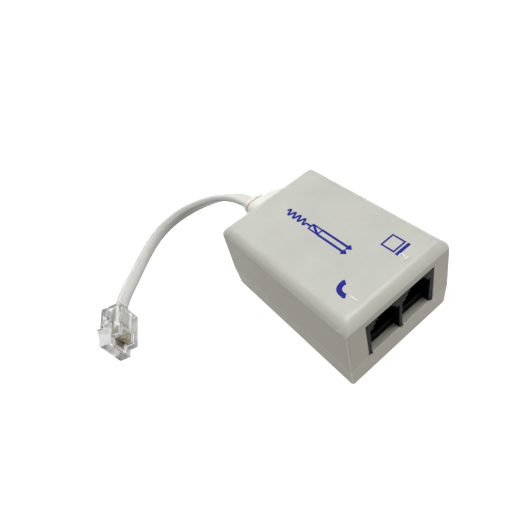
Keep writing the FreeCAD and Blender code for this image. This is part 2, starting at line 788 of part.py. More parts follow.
def bent_leads(name, x, y, pitch, height, reach):
    """Two leads that leave a part sideways and turn down through the board."""
    low = number(f"{BOARD_BOTTOM} - lead_tail")
    high = number(f"board_top + {height}")
    diameter = number("lead_diameter")
    wires = []
    for side in (-1, 1):
        place = f"({x} + {side} * {pitch} / 2)"
        LEAD_PLACES.append((place, y))
        outer, inner = number(place), number(f"{x} + {side} * {reach}")
        points = [Vector(inner, number(y), high), Vector(outer, number(y), high), Vector(outer, number(y), low)]
        wires.append(round_wire(points, diameter, [1.5 * diameter]))
    return feature(name, Part.makeCompound(wires))


def resistor(k, x, y):
    """A resistor lying on the board: a waisted ceramic body and two bent leads."""
    height = "(resistor_diameter / 2 + part_stand)"
    middle = f"board_top + {height}"
    start = f"{x} - resistor_length / 2"
    cap = "resistor_length / 4"
    parts = [rod(f"resistor_waist_{k}", "resistor_diameter * resistor_waist", "resistor_length",
                 (start, y, middle), "X"),
             rod(f"resistor_cap_{k}_1", "resistor_diameter", cap, (start, y, middle), "X"),
             rod(f"resistor_cap_{k}_2", "resistor_diameter", cap,
                 (f"{x} + resistor_length / 2 - {cap}", y, middle), "X"),
             bent_leads(f"resistor_leads_{k}", x, y, "resistor_pitch", height,
                        "(resistor_length / 2 - lead_diameter / 4)")]
    return joined(f"resistor_{k}", parts)


def disc_capacitor(x, y):
    """A ceramic disc on edge, above two leads."""
    middle = "board_top + disc_diameter / 2 + part_stand"
    disc = rod("disc_body", "disc_diameter", "disc_thickness", (x, f"{y} - disc_thickness / 2", middle), "Y")
    leads = [lead(f"disc_lead_{n}", f"({x} + {side} * disc_pitch / 2)", y, middle)
             for n, side in enumerate(("-1", "1"), start=1)]
    return joined("disc_capacitor", [disc] + leads)


# Boot of the flat cord

# Share of the boot's length, and how far its width and place have gone from root to rim there
BOOT_SHAPE = [(0, 0), (0.38, 0.1), (0.62, 0.36), (0.82, 0.86), (1, 1)]


def rounded_wire(middle_x, middle_z, width, height, y, radius):
    """A rounded rectangle that stands across the length of the boot."""
    half_w, half_h = width / 2 - radius, height / 2 - radius
    edges = []
    corners = [(half_w, half_h, 0), (-half_w, half_h, 90), (-half_w, -half_h, 180), (half_w, -half_h, 270)]

    def at(cx, cz, degrees):
        turn = math.radians(degrees)
        return Vector(middle_x + cx + radius * math.cos(turn), y, middle_z + cz + radius * math.sin(turn))

    for k, (cx, cz, degrees) in enumerate(corners):
        first, halfway, last = (at(cx, cz, degrees + step) for step in (0, 45, 90))
        edges.append(Part.Arc(first, halfway, last).toShape())
        nx, nz, next_degrees = corners[(k + 1) % 4]
        edges.append(Part.LineSegment(last, at(nx, nz, next_degrees)).toShape())
    return Part.Wire(edges)


def strain_relief():
    """A flexible boot pushed over to the left by its cord, with a neck and flange inside the wall."""
    root, rim = number(HALF_LENGTH), number(f"{HALF_LENGTH} + boot_length")
    height = number("boot_height")
    sections = []
    for share, gone in BOOT_SHAPE:
        width = number("boot_root_width") * (1 - gone) + number("boot_rim_width") * gone
        tall = number("boot_root_height") * (1 - gone) + number("boot_rim_height") * gone
        middle = number("boot_offset") * (1 - gone) + number("boot_rim_offset") * gone
        sections.append(rounded_wire(middle, height, width, tall, root + share * (rim - root),
                                     number("boot_softness") * tall))
    boot = Part.makeLoft(sections, True, False)
    inside = number(f"{BACK_INSIDE} - fit_gap")
    offset = number("boot_offset")
    neck = solid_between(rounded_wire, offset, height, number("boot_neck_width"), number("boot_neck_height"),
                         inside - number("boot_flange") / 2, root + number("boot_length") / 20)
    flange = solid_between(rounded_wire, offset, height, number("boot_neck_width") + 2 * number("boot_flange"),
                           number("boot_neck_height") + 2 * number("boot_flange"),
                           inside - number("boot_flange"), inside)
    groove_at = rim - number("boot_groove_place")
    rim_width, rim_tall = number("boot_rim_width"), number("boot_rim_height")
    depth = number("boot_groove_depth")
    collar = number("boot_rim_offset")
    around = solid_between(rounded_wire, collar, height, 3 * rim_width, 3 * rim_tall, groove_at,
                           groove_at + number("boot_groove"))
    core = solid_between(rounded_wire, collar, height, rim_width - 2 * depth, rim_tall - 2 * depth,
                         groove_at - 1, groove_at + 2)
    shape = boot.fuse([neck, flange]).cut(around.cut(core))
    return feature("strain_relief", shape.removeSplitter())


def solid_between(section, middle_x, middle_z, width, height, start, stop):
    wire = section(middle_x, middle_z, width, height, start, number("neck_softness") * height)
    return Part.Face(wire).extrude(Vector(0, stop - start, 0))


# Flat cord and the leads inside

# Points of the cord from the boot to the back of the plug
CORD_ROUTE = [
    (0.0, 42.0, 14.1),
    (-3.7, 50.6, 12.6),
    (-10.3, 57.9, 9.8),
    (-18.7, 62.6, 7.0),
    (-27.8, 63.1, 4.6),
    (-36.3, 58.9, 3.2),
    (-43.8, 52.7, 3.2),
    (-50.4, 45.6, 5.0),
]


def plug_frame():
    """Where the plug lies: on its side, leaning a little towards its latch."""
    heading, lean = math.radians(number("plug_heading")), math.radians(number("plug_lean"))
    along = Vector(math.cos(heading), math.sin(heading), 0)
    level = Vector(-math.sin(heading), math.cos(heading), 0)
    across = UP * math.cos(lean) + level * math.sin(lean)
    out = level * math.cos(lean) - UP * math.sin(lean)
    height = number("plug_width") / 2 * math.cos(lean) + number("plug_height") / 2 * math.sin(lean)
    middle = Vector(number("plug_east"), number("plug_north"), height)
    return FreeCAD.Placement(middle, FreeCAD.Rotation(across, along, out, "XYZ"))


def flat_cord():
    """One flat tube of straight runs and tangent arcs, with its end held in the plug."""
    frame = plug_frame()
    back = number("plug_length") / 2
    rim = number(f"{HALF_LENGTH} + boot_length")
    start = Vector(number("boot_rim_offset"), rim - 1, number("boot_height"))
    end = [frame.multVec(Vector(0, back, 0)), frame.multVec(Vector(0, back - number("cord_pocket"), 0))]
    points = [start] + [Vector(*point) for point in CORD_ROUTE] + end
    path, radii = bent_path(points)
    across = frame.Rotation.multVec(Vector(1, 0, 0))
    heading = (points[1] - points[0]).normalize()
    side = across.cross(heading).normalize()
    section = stadium(start, across, side, number("cord_width"), number("cord_thickness"))
    sweep = Part.BRepOffsetAPI.MakePipeShell(path)
    sweep.setBiNormalMode(across)
    sweep.add(section, False, False)
    sweep.build()
    sweep.makeSolid()
    solid = sweep.shape()
    print("cord radii", radii, "and length", round(path.Length, 1))
    reach = 2 * number("cord_width")
    inside_boot = Part.makeBox(2 * reach, reach, 2 * reach, Vector(start.x - reach, rim - reach, start.z - reach))
    return feature("flat_cord", solid.cut(inside_boot))


def stadium(middle, long_way, short_way, width, thickness):
    """The cord's section: two flats joined by half rounds."""
    half, radius = (width - thickness) / 2, thickness / 2
    points = [middle + long_way * (half * a) + short_way * (radius * b)
              for a, b in ((1, -1), (1, 1), (-1, 1), (-1, -1))]
    ends = [middle + long_way * (half + radius), middle - long_way * (half + radius)]
    return Part.Wire([
        Part.Arc(points[0], ends[0], points[1]).toShape(),
        Part.LineSegment(points[1], points[2]).toShape(),
        Part.Arc(points[2], ends[1], points[3]).toShape(),
        Part.LineSegment(points[3], points[0]).toShape(),
    ])


COLOURS = ("black", "red", "green", "yellow")


def inner_leads():
    """Four insulated leads from the boot's flange down to the board."""
    diameter = number("inner_lead_diameter")
    start_y = number(f"{BACK_INSIDE} - fit_gap - boot_flange")
    leads = {}
    for k, colour in enumerate(COLOURS):
        step = k - (len(COLOURS) - 1) / 2
        x = number("boot_offset") + step * number("inner_lead_spacing") * diameter
        foot_x = number(column(f"(boot_offset + lead_foot_shift + {step} * lead_foot_pitch)"))
        foot_y = number(f"{BOARD_BACK} - lead_foot_inset")
        high = number("boot_height")
        points = [Vector(x, start_y, high), Vector(x, foot_y + diameter / 2, high),
                  Vector(foot_x, foot_y, high - number("inner_lead_drop")),
                  Vector(foot_x, foot_y, number("board_top"))]
        leads[f"inner_lead_{colour}"] = feature(f"inner_lead_{colour}", round_wire(points, diameter))
    return leads


# Plug, modelled about its own middle: X across the contacts, Y towards the cord, Z towards the latch


def plug_body():
    """A clear block with a stepped nose, slots for the blades, a channel for the wires and two press windows."""
    half_x, half_y, half_z = "plug_width / 2", "plug_length / 2", "plug_height / 2"
    nose, foot = f"(0 - {half_y})", f"(0 - {half_z})"
    body = doc.addObject("PartDesign::Body", "plug_block")
    side = [(nose, f"{foot} + nose_step_height"), (f"{nose} + nose_step_length", f"{foot} + nose_step_height"),
            (f"{nose} + nose_step_length", foot), (half_y, foot), (half_y, half_z),
            (f"{nose} + plug_chamfer", half_z), (nose, f"{half_z} - plug_chamfer")]
    sketch = outline(body, "plug_side", "YZ_Plane", side, f"0 - {half_x}")
    pad(body, "plug_pad", sketch, "plug_width")
    tools = [plug_room("plug_mouth", "cord_width / 2 + 3 * fit_gap", (f"{half_y} - mouth_depth", f"{half_y} + 1"),
                       "cord_thickness / 2 + 3 * fit_gap"),
             plug_room("plug_throat", "cord_width / 2 + fit_gap",
                       (f"{half_y} - cord_pocket - plug_clearance", f"{half_y} + 1"),
                       "cord_thickness / 2 + fit_gap"),
             plug_room("plug_channel", "2 * contact_pitch + 2 * plug_clearance",
                       (f"{nose} + nose_wall", f"{half_y} - cord_pocket"),
                       "plug_wire_diameter / 2 + plug_clearance", WIRE_LEVEL)]
    for part in ("clamp", "press"):
        start = f"({half_y} - {part}_place - {part}_length)"
        tools.append(box(f"plug_{part}_window", (f"0 - {part}_width / 2", f"{part}_width / 2"),
                         (start, f"{start} + {part}_length"), (f"{half_z} - {part}_depth", f"{half_z} + 1")))
    for k, x in enumerate(contact_xs("0", 6), start=1):
        wide = "(plug_blade_thickness / 2 + plug_clearance)"
        tools.append(box(f"plug_slot_{k}", (f"{x} - {wide}", f"{x} + {wide}"),
                         (f"{nose} + nose_step_length - 1", f"{BLADE_FRONT} + blade_length + 2 * plug_clearance"),
                         (f"{foot} - 1", f"{WIRE_LEVEL} - plug_wire_diameter / 2")))
    return joined("plug_body", [less("plug_form", body, tools), latch()])


def plug_room(name, half_width, along, half_height, level="0"):
    """A cut round the plug's long axis, for the cord or its wires."""
    return box(name, (f"0 - ({half_width})", half_width), along,
               (f"{level} - ({half_height})", f"{level} + {half_height}"))


def latch():
    """The springy latch, moulded in one with the nose: wide to its shoulder, then a narrow grip."""
    half_y, half_z = "plug_length / 2", "plug_height / 2"
    root = f"(0 - {half_y} + plug_chamfer)"
    shoulder_y, shoulder = f"(0 - {half_y} + latch_reach)", f"({half_z} + latch_shoulder)"
    grip_y = f"({shoulder_y} - latch_thickness)"
    body = doc.addObject("PartDesign::Body", "latch_block")
    wide = [(root, f"{half_z} - latch_root"), (f"{root} + latch_root_length", f"{half_z} - latch_root"),
            (f"{root} + latch_root_length", f"{half_z} + plug_clearance"),
            (shoulder_y, f"{shoulder} - latch_thickness"), (shoulder_y, shoulder),
            (f"{root} + latch_root_length / 2", f"{half_z} + latch_root")]
    sketch = outline(body, "latch_wide_side", "YZ_Plane", wide, "0 - latch_width / 2")
    pad(body, "latch_wide", sketch, "latch_width")
    grip = doc.addObject("PartDesign::Body", "grip_block")
    tip_y, tip_z = f"({half_y} + latch_overhang)", f"({half_z} + latch_tip)"
    narrow = [(grip_y, f"{shoulder} - latch_thickness * 1.3"), (tip_y, f"{tip_z} - latch_thickness * 0.8"),
              (tip_y, tip_z), (grip_y, f"{shoulder} - latch_thickness * 0.4")]
    grip_sketch = outline(grip, "latch_grip_side", "YZ_Plane", narrow, "0 - latch_grip_width / 2")
    pad(grip, "latch_grip", grip_sketch, "latch_grip_width")
    return joined("plug_latch", [body, grip])


def plug_contacts():
    """Four gold blades behind the nose step: a crown along the slot, and a leg that stands on a wire."""
    foot = "(0 - plug_height / 2 + blade_recess)"
    blades = []
    for k, x in enumerate(contact_xs("0"), start=1):
        span = (f"{x} - plug_blade_thickness / 2", f"{x} + plug_blade_thickness / 2")
        crown = box(f"blade_crown_{k}", span, (BLADE_FRONT, f"{BLADE_FRONT} + blade_length"),
                    (foot, f"{foot} + blade_crown"))
        leg = box(f"blade_leg_{k}", span,
                  (f"{BLADE_FRONT} + blade_shoulder", f"{BLADE_FRONT} + blade_length - blade_shoulder"),
                  (f"{foot} + blade_crown / 2", f"{WIRE_LEVEL} - plug_wire_diameter / 2"))
        blades.append(joined(f"blade_{k}", [crown, leg]))
    return group("plug_contacts", blades)


def plug_wires():
    start = "(0 - plug_length / 2 + nose_wall + plug_clearance)"
    length = f"plug_length / 2 - cord_pocket - {start}"
    return {f"plug_wire_{colour}": rod(f"plug_wire_{colour}", "plug_wire_diameter", length,
                                       (x, start, WIRE_LEVEL), "Y")
            for x, colour in zip(contact_xs("0"), COLOURS)}


# The whole

nodes = {}
nodes["lower_shell"] = lower_shell()
nodes["upper_shell"] = upper_shell()
nodes["socket_housing"] = socket_housing()
nodes["left_socket_contacts"] = socket_contacts("left_socket_contacts", "-1")
nodes["right_socket_contacts"] = socket_contacts("right_socket_contacts", "1")
coil_pins = []
for count, side in enumerate(("-1", "1"), start=1):
    core, bobbin, winding, pins = coil(count, column(f"({side} * coil_spread / 2)"))
    nodes[f"coil_core_{count}"] = core
    nodes[f"coil_bobbin_{count}"] = bobbin
    nodes[f"coil_winding_{count}"] = winding
    coil_pins += pins
nodes["coil_pins"] = group("coil_pins", coil_pins)
film_places = [("(0 - film_spread)", "film_row"), ("film_spread", "film_row"),
               ("(0 - film_last_spread)", "film_last_row")]
for count, (film_x, film_y) in enumerate(film_places, start=1):
    nodes[f"film_capacitor_{count}"] = film_capacitor(count, column(film_x), line(film_y))
for count, place in enumerate(("resistor_first_row", "resistor_second_row"), start=1):
    nodes[f"resistor_{count}"] = resistor(count, "0", line(place))
nodes["disc_capacitor"] = disc_capacitor(column("disc_spread"), line("disc_row"))
nodes["circuit_board"] = board()
nodes["strain_relief"] = strain_relief()
nodes["flat_cord"] = flat_cord()
nodes.update(inner_leads())
on_plug = {"plug_body": plug_body(), "plug_contacts": plug_contacts()}
on_plug.update(plug_wires())

doc.recompute()
for name, item in on_plug.items():
    placed = feature(f"{name}_placed", item.Shape)
    placed.Placement = plug_frame().multiply(item.Placement)
    nodes[name] = placed
doc.recompute()

for item in doc.Objects:
    if "Invalid" in item.State or "Error" in item.State:
        raise RuntimeError(f"{item.Name} failed: {item.State}")

os.makedirs("parts", exist_ok=True)
for name, item in nodes.items():
    item.Label = name
    shape = item.Shape
    if shape.isNull() or not shape.isValid() or not shape.Solids:
        raise RuntimeError(f"{name} has no valid solid")
    shape.exportStep(f"parts/{name}.step")
    bounds = shape.BoundBox
    print(f"{name:24s} solids {len(shape.Solids)} volume {shape.Volume:9.2f}",
          [round(v, 2) for v in (bounds.XMin, bounds.YMin, bounds.ZMin, bounds.XMax, bounds.YMax, bounds.ZMax)])
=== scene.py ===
import math

import bpy
from mathutils import Matrix, Vector


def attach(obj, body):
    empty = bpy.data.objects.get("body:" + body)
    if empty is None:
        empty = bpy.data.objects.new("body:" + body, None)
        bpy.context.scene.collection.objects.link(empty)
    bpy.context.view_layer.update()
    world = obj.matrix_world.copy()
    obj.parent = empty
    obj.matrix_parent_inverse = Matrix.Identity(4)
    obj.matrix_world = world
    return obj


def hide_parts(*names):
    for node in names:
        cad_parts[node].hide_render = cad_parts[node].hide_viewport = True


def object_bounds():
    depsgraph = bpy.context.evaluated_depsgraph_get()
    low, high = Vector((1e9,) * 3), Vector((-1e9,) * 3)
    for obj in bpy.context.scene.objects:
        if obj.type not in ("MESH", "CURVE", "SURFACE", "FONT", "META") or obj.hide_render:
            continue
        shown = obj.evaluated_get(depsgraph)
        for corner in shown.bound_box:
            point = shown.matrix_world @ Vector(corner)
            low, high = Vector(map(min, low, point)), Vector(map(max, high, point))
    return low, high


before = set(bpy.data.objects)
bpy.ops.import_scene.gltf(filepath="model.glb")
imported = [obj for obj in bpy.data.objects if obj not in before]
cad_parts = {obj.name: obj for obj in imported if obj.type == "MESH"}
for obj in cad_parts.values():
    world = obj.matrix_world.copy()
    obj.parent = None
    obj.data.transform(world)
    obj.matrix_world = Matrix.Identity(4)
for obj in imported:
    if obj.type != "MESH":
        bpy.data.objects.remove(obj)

# Inline telephone line filter: white moulded box, twin socket, short flat cord and clear plug.
# Metres, in the row frame: X is the width, the sockets face -Y, and Z is up.

CAD_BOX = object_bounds()
MM = 0.001
UP = Vector((0, 0, 1))


# Camera

IMAGE_SIDE = 512
FOCAL_PIXELS = 435.385
SENSOR_WIDTH = 36
CAMERA_PLACE = (-0.047329, -0.064144, 0.107356)
CAMERA_AZIMUTH = -22.858
CAMERA_ELEVATION = 46.481
CAMERA_ROLL = -19.974
CAMERA_NEAREST = 5 * MM


def add_camera():
    """The camera of the photograph, placed and turned by its azimuth, elevation and roll."""
    azimuth = math.radians(CAMERA_AZIMUTH)
    elevation = math.radians(CAMERA_ELEVATION)
    roll = math.radians(CAMERA_ROLL)
    back = Vector((math.sin(azimuth) * math.cos(elevation), -math.cos(azimuth) * math.cos(elevation),
                   math.sin(elevation)))
    level = (-back).cross(UP).normalized()
    down = (-back).cross(level)
    right = level * math.cos(roll) - down * math.sin(roll)
    lower = level * math.sin(roll) + down * math.cos(roll)
    turned = Matrix((right, -lower, back)).transposed().to_4x4()
    turned.translation = CAMERA_PLACE
    bpy.ops.object.camera_add()
    camera = bpy.context.object
    camera.matrix_world = turned
    camera.data.sensor_width = SENSOR_WIDTH
    camera.data.lens = FOCAL_PIXELS / IMAGE_SIDE * SENSOR_WIDTH
    camera.data.clip_start = CAMERA_NEAREST
    bpy.context.scene.camera = camera


add_camera()


# Materials

SPECKLE_ROUGHNESS = 0.55
BLOTCH_STOPS = (0.3, 0.7)
GLOSS_SWING = 0.15
GRAIN_STRENGTH = 0.6


def shade(name):
    """A new material with its node tree, its main shader, and a helper that adds nodes."""
    material = bpy.data.materials.new(name)
    material.use_nodes = True
    tree = material.node_tree
    shader = tree.nodes["Principled BSDF"]

    def node(kind, **values):
        made = tree.nodes.new(kind)
        for key, value in values.items():
            if hasattr(made, key):
                setattr(made, key, value)
            else:
                made.inputs[key.replace("_", " ")].default_value = value
        return made

    return material, tree, shader, node


def speckle(tree, node, place, size, detail):
    """Soft noise whose blobs are about this many metres across."""
    noise = node("ShaderNodeTexNoise", Scale=1 / size, Detail=detail, Roughness=SPECKLE_ROUGHNESS)
    tree.links.new(place.outputs["Object"], noise.inputs["Vector"])
    return noise


def moulded(name, colour, roughness, blotch, blotch_size, grain_size, grain_depth, **sockets):
    """A moulded or coated finish: slow colour blotches, uneven gloss and a fine grain in relief."""
    material, tree, shader, node = shade(name)
    place = node("ShaderNodeTexCoord")
    slow = speckle(tree, node, place, blotch_size, detail=3.0)
    ramp = node("ShaderNodeValToRGB")
    dark, light = (tuple(c * factor for c in colour) for factor in (1 - blotch, 1 + blotch))
    for element, stop, tint in zip(ramp.color_ramp.elements, BLOTCH_STOPS, (dark, light)):
        element.position = stop
        element.color = (*tint, 1)
    tree.links.new(slow.outputs["Fac"], ramp.inputs["Fac"])
    tree.links.new(ramp.outputs["Color"], shader.inputs["Base Color"])
    patches = speckle(tree, node, place, blotch_size / 3, detail=4.0)
    gloss = node("ShaderNodeMapRange")
    gloss.inputs["To Min"].default_value = roughness * (1 - GLOSS_SWING)
    gloss.inputs["To Max"].default_value = min(1, roughness * (1 + GLOSS_SWING))
    tree.links.new(patches.outputs["Fac"], gloss.inputs["Value"])
    tree.links.new(gloss.outputs["Result"], shader.inputs["Roughness"])
    fine = speckle(tree, node, place, grain_size, detail=2.0)
    bump = node("ShaderNodeBump", Strength=GRAIN_STRENGTH, Distance=grain_depth)
    tree.links.new(fine.outputs["Fac"], bump.inputs["Height"])
    tree.links.new(bump.outputs["Normal"], shader.inputs["Normal"])
    for key, value in sockets.items():
        shader.inputs[key.replace("_", " ")].default_value = value
    return material


def blended(material, tint, measure, full, gone):
    """Mixes a tint into the colour of a material: full at one value of the measure and gone at the other."""
    tree = material.node_tree
    base = tree.nodes["Principled BSDF"].inputs["Base Color"]
    turned = tree.nodes.new("ShaderNodeMapRange")
    turned.inputs["From Min"].default_value = full
    turned.inputs["From Max"].default_value = gone
    tree.links.new(measure, turned.inputs["Value"])
    blend = tree.nodes.new("ShaderNodeMix")
    blend.data_type = "RGBA"
    tree.links.new(turned.outputs["Result"], blend.inputs["Factor"])
    blend.inputs["A"].default_value = (*tint, 1)
    tree.links.new(base.links[0].from_socket, blend.inputs["B"])
    tree.links.new(blend.outputs["Result"], base)


def normal_parts(material):
    """The three parts of the faces' normal, in the object's own axes."""
    tree = material.node_tree
    place = tree.nodes.new("ShaderNodeTexCoord")
    parts = tree.nodes.new("ShaderNodeSeparateXYZ")
    tree.links.new(place.outputs["Normal"], parts.inputs["Vector"])
    return parts


def painted_shade_tint(material, tint, full, gone):
    """A painted shade tint where the faces stand upright or look down."""
    blended(material, tint, normal_parts(material).outputs["Z"], full, gone)


def painted_highlight_tint(material, tint, full, gone):
    """A painted highlight tint on the rounded edges, where the normal is far from all three axes."""
    tree = material.node_tree
    parts = normal_parts(material)
    largest = None
    for axis in "XYZ":
        size = tree.nodes.new("ShaderNodeMath")
        size.operation = "ABSOLUTE"
        tree.links.new(parts.outputs[axis], size.inputs[0])
        if largest is None:
            largest = size
            continue
        greater = tree.nodes.new("ShaderNodeMath")
        greater.operation = "MAXIMUM"
        tree.links.new(largest.outputs["Value"], greater.inputs[0])
        tree.links.new(size.outputs["Value"], greater.inputs[1])
        largest = greater
    blended(material, tint, largest.outputs["Value"], full, gone)


def only(piece):
    """Selects this piece alone and makes it the active one."""
    bpy.ops.object.select_all(action="DESELECT")
    piece.select_set(True)
    bpy.context.view_layer.objects.active = piece


def dressed(node_names, material):
    """Gives these CAD nodes one material."""
    for name in node_names:
        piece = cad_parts[name]
        piece.data.materials.clear()
        piece.data.materials.append(material)


WHITE_ABS = (0.56, 0.565, 0.52)
# Painted light: the lower shell lighter than the upper, so that the ledge in the shaded socket openings
# looks bright
LEDGE_PAINTED_LIGHT = (0.62, 0.61, 0.55)
# Painted shade: the upright sides of the shells darker than the top, as less light falls on them
SIDE_PAINTED_SHADE = (0.33, 0.32, 0.265)
# Painted highlight: the rounded rims of the shells lighter, as they catch the light
RIM_PAINTED_HIGHLIGHT = (0.68, 0.67, 0.6)
# Painted shade: the cord's upright and downward faces darker, as less light falls on them
CORD_UNDERSIDE_PAINTED_SHADE = (0.3, 0.3, 0.275)
# From full to gone, by a part of the faces' normal: its Z for the painted shade on sides and underside, its
# largest for the painted highlight on rims
SIDE_SHADE_BAND = (0.05, 0.3)
RIM_HIGHLIGHT_BAND = (0.45, 0.995)
UNDERSIDE_SHADE_BAND = (-0.15, 0.2)


def shell_plastic(name, colour):
    """The satin plastic of the two shells, with painted shade darkening the upright sides and a painted
    highlight lightening the rounded rims.
    """
    material = moulded(name, colour, 0.42, 0.035, 9 * MM, 0.35 * MM, 0.004 * MM,
                       Subsurface_Weight=0.12, Subsurface_Scale=0.6 * MM, Subsurface_Radius=(1, 0.8, 0.6))
    # Painted shade on the upright sides
    painted_shade_tint(material, SIDE_PAINTED_SHADE, *SIDE_SHADE_BAND)
    # Painted highlight on the rounded rims
    painted_highlight_tint(material, RIM_PAINTED_HIGHLIGHT, *RIM_HIGHLIGHT_BAND)
    return material


# Each finish: name, colour, roughness, strength and size of its blotches, size and depth of its grain
HOUSING = shell_plastic("housing_satin_painted_light", WHITE_ABS)
# Painted light: this lighter copy of the shell plastic brightens the shaded ledge
BASE_PAINTED_LIGHT = shell_plastic("base_satin_painted_light", LEDGE_PAINTED_LIGHT)
EMBOSSED = moulded("embossed_white", (0.8, 0.79, 0.75), 0.4, 0.03, 3 * MM, 0.3 * MM, 0.003 * MM)
SOCKET = moulded("socket_black", (0.003, 0.003, 0.0035), 0.5, 0.25, 4 * MM, 0.3 * MM, 0.005 * MM,
                 Specular_IOR_Level=0.12)
GOLD = moulded("contact_gold", (0.83, 0.62, 0.26), 0.25, 0.08, 1.5 * MM, 0.1 * MM, 0.002 * MM,
               Metallic=1.0)
BOARD = moulded("board_laminate", (0.48, 0.34, 0.16), 0.5, 0.12, 3 * MM, 0.4 * MM, 0.01 * MM)
FERRITE = moulded("ferrite_ground", (0.05, 0.05, 0.055), 0.55, 0.2, 1 * MM, 0.15 * MM, 0.01 * MM)
BOBBIN = moulded("bobbin_moulded", (0.62, 0.56, 0.44), 0.5, 0.05, 3 * MM, 0.3 * MM, 0.004 * MM)
COPPER = moulded("copper_enamelled", (0.62, 0.25, 0.09), 0.3, 0.15, 0.6 * MM, 0.12 * MM, 0.02 * MM,
                 Metallic=1.0)
TINNED = moulded("lead_tinned", (0.68, 0.68, 0.69), 0.35, 0.1, 0.8 * MM, 0.1 * MM, 0.004 * MM,
                 Metallic=1.0)
FILM = moulded("film_box", (0.42, 0.045, 0.02), 0.3, 0.08, 3 * MM, 0.4 * MM, 0.004 * MM)
RESISTOR = moulded("resistor_lacquer", (0.52, 0.38, 0.2), 0.35, 0.15, 1.2 * MM, 0.2 * MM, 0.01 * MM)
CERAMIC = moulded("ceramic_dipped", (0.5, 0.17, 0.02), 0.35, 0.15, 1.5 * MM, 0.3 * MM, 0.02 * MM)
INSULATION = {
    "black": moulded("insulation_black", (0.02, 0.018, 0.016), 0.4, 0.2, 1 * MM, 0.2 * MM, 0.004 * MM),
    "red": moulded("insulation_red", (0.55, 0.02, 0.015), 0.4, 0.1, 1 * MM, 0.2 * MM, 0.004 * MM),
    "green": moulded("insulation_green", (0.01, 0.16, 0.07), 0.4, 0.1, 1 * MM, 0.2 * MM, 0.004 * MM),
    "yellow": moulded("insulation_yellow", (0.7, 0.42, 0.02), 0.4, 0.1, 1 * MM, 0.2 * MM, 0.004 * MM),
}
BOOT = moulded("boot_vinyl", (0.78, 0.78, 0.74), 0.5, 0.03, 5 * MM, 0.3 * MM, 0.004 * MM,
               Subsurface_Weight=0.1, Subsurface_Scale=0.8 * MM, Subsurface_Radius=(1, 1, 0.9))
CORD = moulded("cord_vinyl", (0.7, 0.695, 0.67), 0.45, 0.04, 4 * MM, 0.25 * MM, 0.003 * MM,
               Subsurface_Weight=0.05, Subsurface_Scale=0.5 * MM, Subsurface_Radius=(1, 1, 0.9))
# Painted shade on the cord's sides and underside
painted_shade_tint(CORD, CORD_UNDERSIDE_PAINTED_SHADE, *UNDERSIDE_SHADE_BAND)
CLEAR = moulded("plug_clear", (0.88, 0.89, 0.87), 0.1, 0.02, 3 * MM, 0.8 * MM, 0.01 * MM,
                Transmission_Weight=0.85, IOR=1.42)
# Painted shadow: the tan colour of the line in the boot's groove, where the groove is in shade
GROOVE_SHADOW = moulded("groove_shadow_tan", (0.56, 0.43, 0.31), 0.55, 0.15, 1 * MM, 0.2 * MM, 0.004 * MM)
INK = moulded("ink_blue", (0.004, 0.012, 0.3), 0.7, 0.12, 0.8 * MM, 0.2 * MM, 0.003 * MM)

dressed(["upper_shell"], HOUSING)
dressed(["lower_shell"], BASE_PAINTED_LIGHT)
dressed(["socket_housing"], SOCKET)
dressed(["left_socket_contacts", "right_socket_contacts", "plug_contacts"], GOLD)
dressed(["circuit_board"], BOARD)
dressed(["coil_core_1", "coil_core_2"], FERRITE)
dressed(["coil_bobbin_1", "coil_bobbin_2"], BOBBIN)
dressed(["coil_winding_1", "coil_winding_2"], COPPER)
dressed(["coil_pins"], TINNED)
dressed(["film_capacitor_1", "film_capacitor_2", "film_capacitor_3"], FILM)
dressed(["resistor_1", "resistor_2"], RESISTOR)
dressed(["disc_capacitor"], CERAMIC)
dressed(["strain_relief"], BOOT)
dressed(["plug_body"], CLEAR)
for wire_colour, wire_material in INSULATION.items():
    dressed([f"inner_lead_{wire_colour}", f"plug_wire_{wire_colour}"], wire_material)


# Flat cord: its wide way lies level at the boot and turns upright on the way to the plug

CORD_WIDTH = 4.8 * MM
CORD_THICKNESS = 2.4 * MM
CORD_ROUTE = [
    (0.0003, 0.03655, 0.0142),
    (0.0000, 0.0420, 0.0141),
    (-0.0037, 0.0506, 0.0126),
    (-0.0103, 0.0579, 0.0098),
    (-0.0187, 0.0626, 0.0070),
    (-0.0278, 0.0631, 0.0046),
    (-0.0363, 0.0589, 0.0032),
    (-0.0438, 0.0527, 0.0032),
    (-0.0504, 0.0456, 0.0050),
    (-0.054166, 0.040204, 0.005329),
    (-0.056691, 0.035205, 0.005329),
]
# Share of the cord's length from the boot, and the turn of its wide way out of level there, in degrees
CORD_TWIST = [(0, 0), (0.05, 8), (0.09, 20), (0.13, 32), (0.17, 41), (0.25, 58), (0.36, 78), (0.5, 90),
              (0.7, 95), (0.87, 98), (1, 100.1)]
SECTION_STEPS = 8
STEPS_PER_POINT = 16


def cord_line():
    """Points along the smooth line of the cord."""
    curve = bpy.data.curves.new("cord_line", "CURVE")
    curve.dimensions = "3D"
    curve.resolution_u = STEPS_PER_POINT
    spline = curve.splines.new("NURBS")
    spline.points.add(len(CORD_ROUTE) - 1)
    for point, place in zip(spline.points, CORD_ROUTE):
        point.co = (*place, 1)
    spline.order_u = 3
    spline.use_endpoint_u = True
    holder = bpy.data.objects.new("cord_line", curve)
    bpy.context.scene.collection.objects.link(holder)
    bpy.context.view_layer.update()
    read = bpy.data.meshes.new_from_object(holder)
    points = [vertex.co.copy() for vertex in read.vertices]
    bpy.data.meshes.remove(read)
    bpy.data.objects.remove(holder)
    bpy.data.curves.remove(curve)
    return points


def twist_at(share):
    """The turn of the cord's wide way at this share of its length."""
    for (low, first), (high, last) in zip(CORD_TWIST, CORD_TWIST[1:]):
        if share <= high:
            step = (share - low) / (high - low)
            return math.radians(first + (last - first) * step)
    return math.radians(CORD_TWIST[-1][1])


